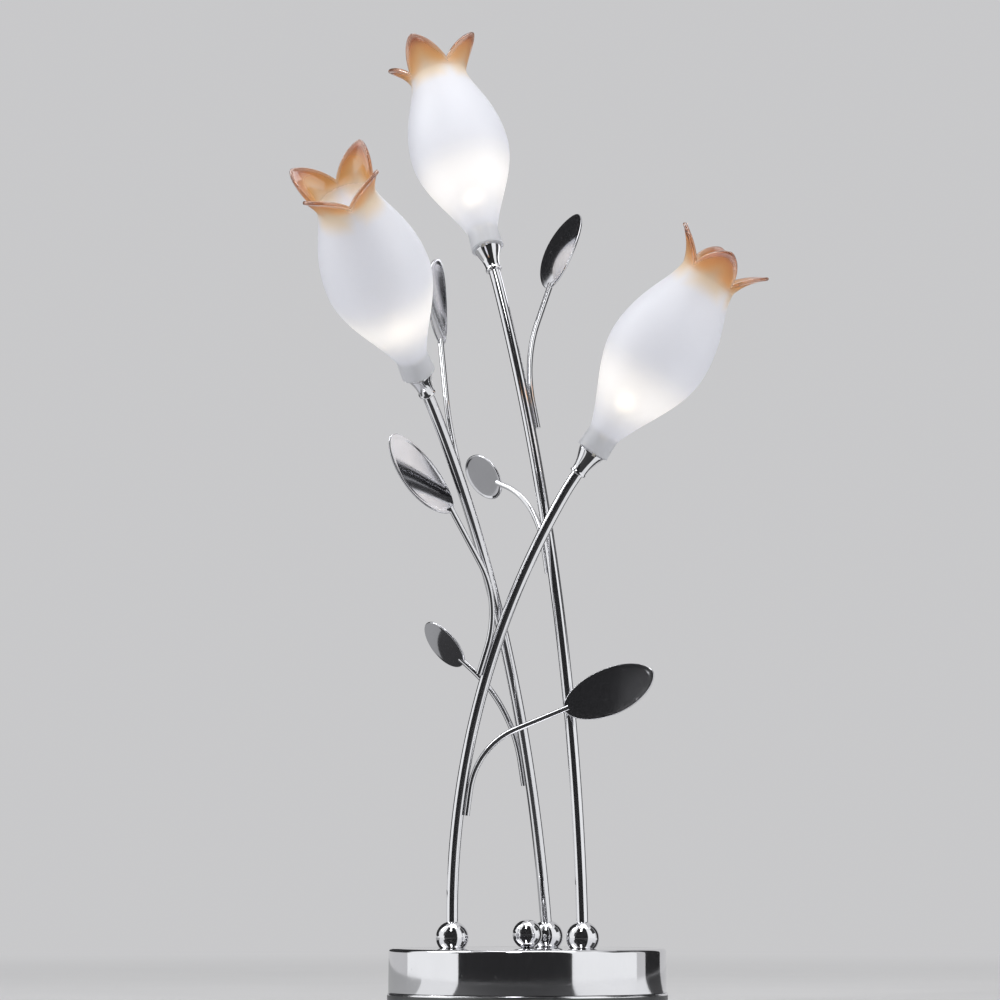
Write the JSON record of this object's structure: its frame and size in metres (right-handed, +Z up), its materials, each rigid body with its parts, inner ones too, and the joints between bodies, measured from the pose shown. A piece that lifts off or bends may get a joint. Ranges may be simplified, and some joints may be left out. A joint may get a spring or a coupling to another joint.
{
  "type": "table lamp",
  "caption": "Table lamp with tulip-shaped frosted glass shades on bent chrome tube stems that carry leaf blades, standing on a round chrome drum base.",
  "frame": {"origin": "centre of the foot pad's underside, on the axis of the round base", "axes": "+Z up along the base's axis; -Y faces the viewer of the picture, +X to the picture's right"},
  "size_m": [0.2354, 0.2679, 0.5119],
  "materials": {
    "chrome": "polished chrome plate",
    "leaf": "polished chrome plate on pressed sheet",
    "plate": "satin dark grey",
    "pad": "matt",
    "steel": "zinc plated",
    "brass": "plain",
    "grommet": "moulded",
    "housing": "moulded",
    "lead": "PVC sheath",
    "holder": "unglazed",
    "capsule": "clear",
    "filament": "lit tungsten coil on pins",
    "shade": "frosted white glass, amber to brown on the petals"
  },
  "bodies": {
    "lamp": {"foot_pad": "pad", "base_plate": "plate", "base_cover": "chrome", "centre_rod": "steel", "rod_nuts": "steel", "centre_ball": "chrome", "cord_grommet": "grommet", "transformer": "housing", "transformer_screws": "steel", "terminal_block": "housing", "transformer_lead": "lead", "stem_nipples": "brass", "stem_washers": "steel", "stem_nuts": "brass", "right_ball": "chrome", "right_stem": "chrome", "right_lead": "lead", "right_cup": "chrome", "right_holder": "holder", "right_bulb": "capsule", "right_filament": "filament", "left_ball": "chrome", "left_stem": "chrome", "left_lead": "lead", "left_cup": "chrome", "left_holder": "holder", "left_bulb": "capsule", "left_filament": "filament", "top_ball": "chrome", "top_stem": "chrome", "top_lead": "lead", "top_cup": "chrome", "top_holder": "holder", "top_bulb": "capsule", "top_filament": "filament", "right_upper_rod": "chrome", "right_upper_leaf": "leaf", "right_lower_rod": "chrome", "right_lower_leaf": "leaf", "left_upper_rod": "chrome", "left_upper_leaf": "leaf", "left_lower_rod": "chrome", "left_lower_leaf": "leaf", "top_upper_rod": "chrome", "top_upper_leaf": "leaf", "top_lower_rod": "chrome", "top_lower_leaf": "leaf"},
    "right_shade_glass": {"right_shade": "shade"},
    "left_shade_glass": {"left_shade": "shade"},
    "top_shade_glass": {"top_shade": "shade"}
  },
  "joints": [
    {"name": "right_shade_lift", "type": "slide", "parent": "lamp", "child": "right_shade_glass", "axis": [0.554, -0.1485, 0.8192], "range_m": [0, 0.045]},
    {"name": "left_shade_lift", "type": "slide", "parent": "lamp", "child": "left_shade_glass", "axis": [-0.3199, -0.6278, 0.7096], "range_m": [0, 0.045]},
    {"name": "top_shade_lift", "type": "slide", "parent": "lamp", "child": "top_shade_glass", "axis": [-0.2512, 0.2993, 0.9205], "range_m": [0, 0.045]}
  ]
}
